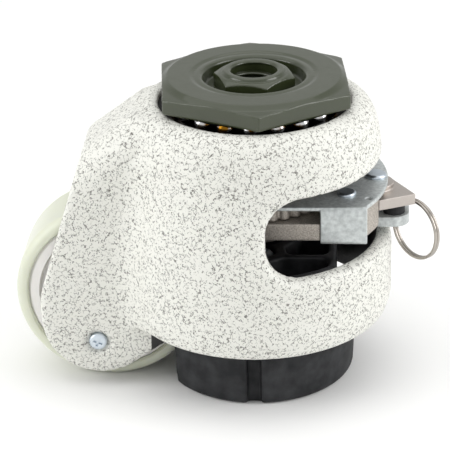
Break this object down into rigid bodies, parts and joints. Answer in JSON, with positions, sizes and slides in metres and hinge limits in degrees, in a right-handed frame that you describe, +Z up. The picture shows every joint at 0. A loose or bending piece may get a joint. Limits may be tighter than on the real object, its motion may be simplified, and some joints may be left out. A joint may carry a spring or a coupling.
{
  "type": "levelling castor",
  "caption": "Swivel castor with a wheel and a jacking foot in one cast housing; a ratchet lever in the drum's window screws the foot up and down.",
  "frame": {"origin": "floor level on the swivel axis, at the centre of the foot's underside", "axes": "+Z up along the swivel axis and the stem thread, -X towards the wheel, +X towards the ratchet lever, Y along the axle"},
  "size_m": [0.1437, 0.092, 0.1084],
  "materials": {
    "olive_enamel": "semi-gloss baked enamel",
    "speckled_coat": "textured powder coat with fine dark veins",
    "moulded_core": "moulded, satin",
    "cast_tread": "cast elastomer, slightly translucent",
    "black_casting": "black satin",
    "black_rubber": "moulded rubber",
    "zinc_sheet": "zinc plated sheet",
    "zinc_screw": "bright zinc plate",
    "bright_steel": "ground and polished",
    "sintered_steel": "pressed and sintered, fine grained",
    "satin_nickel": "nickel plated, tumbled satin",
    "greased_steel": "balls under a film of amber grease",
    "nickel_wire": "nickel plated",
    "blackened_steel": "black oxide, oiled"
  },
  "bodies": {
    "mount": {"hex_plate": "olive_enamel", "kingpin": "olive_enamel", "upper_race": "blackened_steel", "thrust_washer": "bright_steel", "lock_nut": "zinc_sheet"},
    "housing": {"housing": "speckled_coat", "lower_race": "blackened_steel", "race_balls": "greased_steel", "jack_spindle": "sintered_steel", "flange_screws": "zinc_screw", "axle": "bright_steel", "axle_keeper_near": "zinc_sheet", "axle_keeper_far": "zinc_sheet", "keeper_screws": "zinc_screw", "axle_spacer_near": "bright_steel", "axle_spacer_far": "bright_steel", "bearing_inner_near": "bright_steel", "bearing_inner_far": "bright_steel"},
    "wheel": {"wheel_core": "moulded_core", "wheel_tread": "cast_tread", "bearing_outer_near": "bright_steel", "bearing_outer_far": "bright_steel", "bearing_balls": "bright_steel"},
    "foot": {"foot_body": "black_casting", "foot_sole": "black_rubber", "sole_plate": "zinc_sheet", "sole_screws": "zinc_screw", "thrust_ring": "blackened_steel"},
    "ratchet_nut": {"ratchet_nut": "sintered_steel", "nut_clip": "blackened_steel", "lever_clip": "blackened_steel"},
    "lever": {"lever_body": "sintered_steel", "lever_cover": "zinc_sheet", "cover_rivets": "zinc_screw", "pivot_rivet": "zinc_screw", "ring_lug": "zinc_sheet", "lug_bumper": "black_rubber"},
    "selector": {"selector": "satin_nickel"},
    "pull_ring": {"pull_ring": "nickel_wire"}
  },
  "joints": [
    {"name": "swivel", "type": "hinge", "parent": "mount", "child": "housing", "pos_m": [0, 0, 0.0976], "axis": [0, 0, 1], "continuous": true},
    {"name": "wheel_spin", "type": "hinge", "parent": "housing", "child": "wheel", "pos_m": [-0.0504, 0, 0.0315], "axis": [0, 1, 0], "continuous": true},
    {"name": "foot_lift", "type": "slide", "parent": "housing", "child": "foot", "axis": [0, 0, -1], "range_m": [-0.006, 0.002]},
    {"name": "nut_spin", "type": "hinge", "parent": "foot", "child": "ratchet_nut", "pos_m": [0, 0, 0.05], "axis": [0, 0, 1], "range_deg": [-182, 542]},
    {"name": "lever_swing", "type": "hinge", "parent": "foot", "child": "lever", "pos_m": [0, 0, 0.061], "axis": [0, 0, 1], "range_deg": [-30, 30]},
    {"name": "selector_tilt", "type": "hinge", "parent": "lever", "child": "selector", "pos_m": [0.0404, 0, 0.064], "axis": [0, 0, 1], "range_deg": [-6, 6]},
    {"name": "ring_swing", "type": "hinge", "parent": "lever", "child": "pull_ring", "pos_m": [0.0483, 0.0037, 0.057], "axis": [0, 0, 1], "range_deg": [0, 40]}
  ],
  "couplings": [
    {"joint": "nut_spin", "follows": "foot_lift", "rad_per_m": -1570.8}
  ]
}
